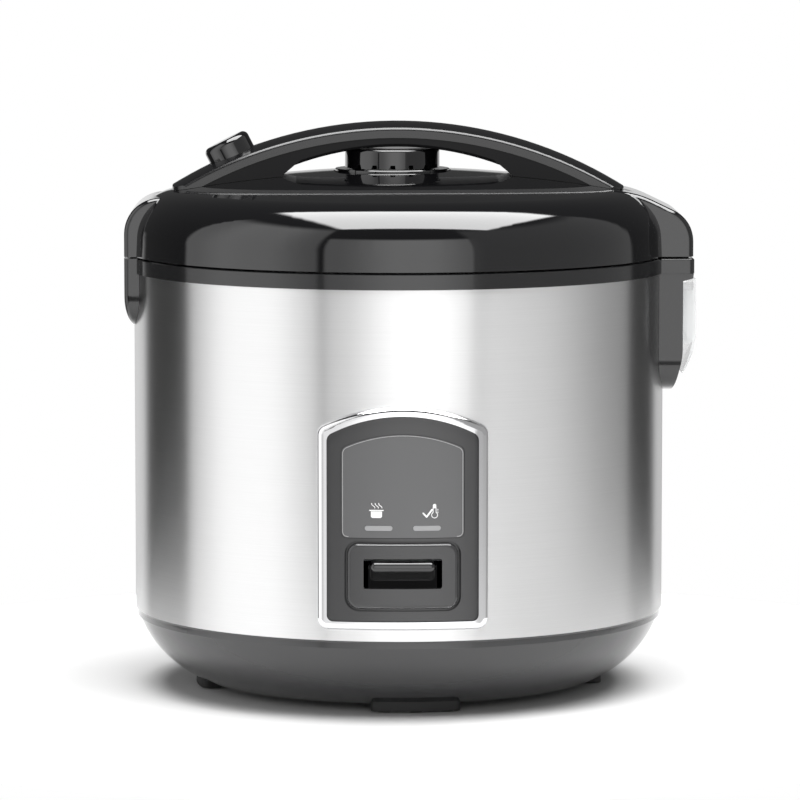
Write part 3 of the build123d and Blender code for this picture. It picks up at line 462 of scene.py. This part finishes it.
def keep_warm_icon():
    """A tick beside a small thermometer."""
    mesh = bmesh.new()
    z = ICON_Z
    stroke(mesh, [(TICK_ICON_X + across, z + up) for across, up in TICK], TICK_WIDTH)
    x = THERMOMETER_X
    neck = asin(TUBE_HALF / BULB_R)
    tube = [(x - TUBE_HALF, z + TUBE_TOP)]
    for i in range(BULB_STEPS + 1):
        turn = pi / 2 + neck + (2 * pi - 2 * neck) * i / BULB_STEPS
        tube.append((x + BULB_R * cos(turn), z + BULB_Z + BULB_R * sin(turn)))
    tube.append((x + TUBE_HALF, z + TUBE_TOP))
    stroke(mesh, tube, FINE_STROKE)
    slab(mesh, [(x - CAP_HALF, z + CAP_LOW), (x + CAP_HALF, z + CAP_LOW), (x + CAP_HALF, z + CAP_SHOULDER),
                (x + TUBE_HALF / 2, z + CAP_TOP), (x - TUBE_HALF / 2, z + CAP_TOP),
                (x - CAP_HALF, z + CAP_SHOULDER)])
    for height in MARK_HEIGHTS:
        stroke(mesh, [(x + MARK_START, z + height), (x + MARK_END, z + height)], MARK_WIDTH)
    finish_mesh(mesh, "keep_warm_icon", WHITE_INK, "cooker")


def rounded_corner(before, corner, after, reach):
    """Points of a round corner that starts and ends at the given reach from the sharp one."""
    corner = Vector(corner)
    start = corner + (Vector(before) - corner).normalized() * reach
    end = corner + (Vector(after) - corner).normalized() * reach
    points = []
    for i in range(CORNER_STEPS + 1):
        t = i / CORNER_STEPS
        points.append(tuple(start * (1 - t) ** 2 + corner * 2 * t * (1 - t) + end * t ** 2))
    return points


def plate_line():
    """Fine pale line printed just inside the plate's edge, arched at the top."""
    half = plate_high[0] / MM - PLATE_MARGIN
    low = plate_low[2] / MM + PLATE_MARGIN
    top = plate_high[2] / MM - PLATE_MARGIN
    side = top - ARCH_RISE
    radius = (half ** 2 + ARCH_RISE ** 2) / (2 * ARCH_RISE)
    arch = []
    for i in range(1, ARCH_STEPS):
        x = half * (1 - 2 * i / ARCH_STEPS)
        arch.append((x, top - radius + sqrt(radius ** 2 - x ** 2)))
    low_left, low_right, high_right, high_left = (-half, low), (half, low), (half, side), (-half, side)
    outline = rounded_corner(high_left, low_left, low_right, LOW_CORNER)
    outline += rounded_corner(low_left, low_right, high_right, LOW_CORNER)
    outline += rounded_corner(low_right, high_right, arch[0], HIGH_CORNER)
    outline += arch[1:-1]
    outline += rounded_corner(arch[-1], high_left, low_left, HIGH_CORNER)
    mesh = bmesh.new()
    stroke(mesh, outline, EDGE_LINE_WIDTH, closed=True)
    finish_mesh(mesh, "plate_edge_line", GREY_INK, "cooker")


# ---------------------------------------------------------------- wound springs
def coil(foot, axis, radius, wire, length, turns):
    """Wound wire from foot along axis, as a closed round tube."""
    axis = Vector(axis).normalized()
    side = axis.orthogonal().normalized()
    across = axis.cross(side)
    mesh = bmesh.new()
    rings = []
    steps = turns * COIL_STEPS
    for i in range(steps + 1):
        turn = 2 * pi * turns * i / steps
        out = side * cos(turn) + across * sin(turn)
        centre = foot + out * radius + axis * (wire + (length - 2 * wire) * i / steps)
        ring = []
        for k in range(WIRE_SIDES):
            angle = 2 * pi * k / WIRE_SIDES
            ring.append(mesh.verts.new(centre + (out * cos(angle) + axis * sin(angle)) * wire))
        rings.append(ring)
    for low, high in zip(rings, rings[1:]):
        for k in range(WIRE_SIDES):
            j = (k + 1) % WIRE_SIDES
            mesh.faces.new([low[k], low[j], high[j], high[k]])
    mesh.faces.new(rings[0][::-1])
    mesh.faces.new(rings[-1])
    for face in mesh.faces:
        face.smooth = True
    return mesh


def sensor_spring():
    """Spring under the sensor cap; it stands on its foot."""
    low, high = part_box("sensor_spring")
    length = high[2] - low[2]
    radius = (high[0] - low[0]) / 2 - SENSOR_WIRE
    foot = Vector(((low[0] + high[0]) / 2, (low[1] + high[1]) / 2, low[2]))
    mesh = coil(foot, (0, 0, 1), radius, SENSOR_WIRE, length, SENSOR_TURNS)
    piece = finish_mesh(mesh, "sensor_coil", MATERIALS["zinc_steel"], "cooker")
    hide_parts("sensor_spring")
    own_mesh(piece)


def button_spring():
    """Spring round the release button's stem, wound along the button's own axis."""
    low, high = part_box("button_spring")
    press = next(joint for joint in frame["joints"] if joint["name"] == "release_button_press")
    axis = -Vector(press["axis"])
    middle = (Vector(low) + Vector(high)) / 2
    foot = middle - axis * BUTTON_COIL_LENGTH / 2
    mesh = coil(foot, axis, BUTTON_COIL_R, BUTTON_WIRE, BUTTON_COIL_LENGTH, BUTTON_TURNS)
    piece = finish_mesh(mesh, "button_coil", MATERIALS["zinc_steel"], "lid")
    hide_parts("button_spring")
    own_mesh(piece)


# ---------------------------------------------------------------- floor, light and camera
def make_floor():
    mesh = bmesh.new()
    bmesh.ops.create_circle(mesh, cap_ends=True, radius=FLOOR_R, segments=96)
    data = bpy.data.meshes.new("floor")
    mesh.to_mesh(data)
    mesh.free()
    floor = bpy.data.objects.new("floor", data)
    bpy.context.scene.collection.objects.link(floor)
    data.materials.append(pale_floor())


def studio_world():
    """Soft boxes as patches of sky, overhead and all round, light the cooker; the camera sees plain white."""
    world = bpy.data.worlds.new("studio")
    world.use_nodes = True
    bpy.context.scene.world = world
    tree = Tree(world.node_tree)
    background = world.node_tree.nodes["Background"]
    coords = tree.add("ShaderNodeTexCoord")
    split = tree.add("ShaderNodeSeparateXYZ")
    tree.put(coords.outputs["Generated"], split.inputs["Vector"])
    x, y, z = split.outputs
    azimuth = tree.math("MULTIPLY", tree.math("ARCTAN2", x, tree.math("MULTIPLY", y, -1.0)), 180 / pi)
    height = tree.math("MULTIPLY", tree.math("ARCSINE", z), 180 / pi)
    above = tree.math("GREATER_THAN", z, LOWEST_OVERHEAD)
    safe_z = tree.math("MAXIMUM", z, LOWEST_OVERHEAD)
    total = FILL
    for brightness, u_range, v_range, soft in OVERHEAD:
        u = tree.window(tree.math("DIVIDE", x, safe_z), *u_range, soft)
        v = tree.window(tree.math("DIVIDE", y, safe_z), *v_range, soft)
        patch = tree.math("MULTIPLY", tree.math("MULTIPLY", u, v), above)
        total = tree.math("ADD", total, tree.math("MULTIPLY", patch, brightness))
    for brightness, azimuths, heights, azimuth_soft, height_soft in BOXES:
        a = tree.window(azimuth, *azimuths, azimuth_soft)
        h = tree.window(height, *heights, height_soft)
        total = tree.math("ADD", total, tree.math("MULTIPLY", tree.math("MULTIPLY", a, h), brightness))
    total = tree.math("MAXIMUM", total, 0.0)
    path = tree.add("ShaderNodeLightPath")
    seen = path.outputs["Is Camera Ray"]
    hidden = tree.math("MULTIPLY", tree.math("SUBTRACT", 1.0, seen), total)
    tree.put(tree.math("ADD", hidden, seen), background.inputs["Strength"])
    background.inputs["Color"].default_value = (1, 1, 1, 1)


def make_camera():
    data = bpy.data.cameras.new("camera")
    data.lens = LENS
    data.sensor_width = SENSOR
    camera = bpy.data.objects.new("camera", data)
    bpy.context.scene.collection.objects.link(camera)
    c, s = cos(CAMERA_TURN), sin(CAMERA_TURN)
    x = -CAMERA_DISTANCE * s + CAMERA_SIDE * c
    y = -CAMERA_DISTANCE * c - CAMERA_SIDE * s
    camera.location = (x, y, CAMERA_HEIGHT)
    camera.rotation_euler = (pi / 2 - CAMERA_TILT, 0, -CAMERA_TURN)
    bpy.context.scene.camera = camera


pot_icon()
keep_warm_icon()
plate_line()
sensor_spring()
button_spring()
make_floor()
studio_world()
make_camera()
bpy.context.scene.view_settings.view_transform = "Standard"
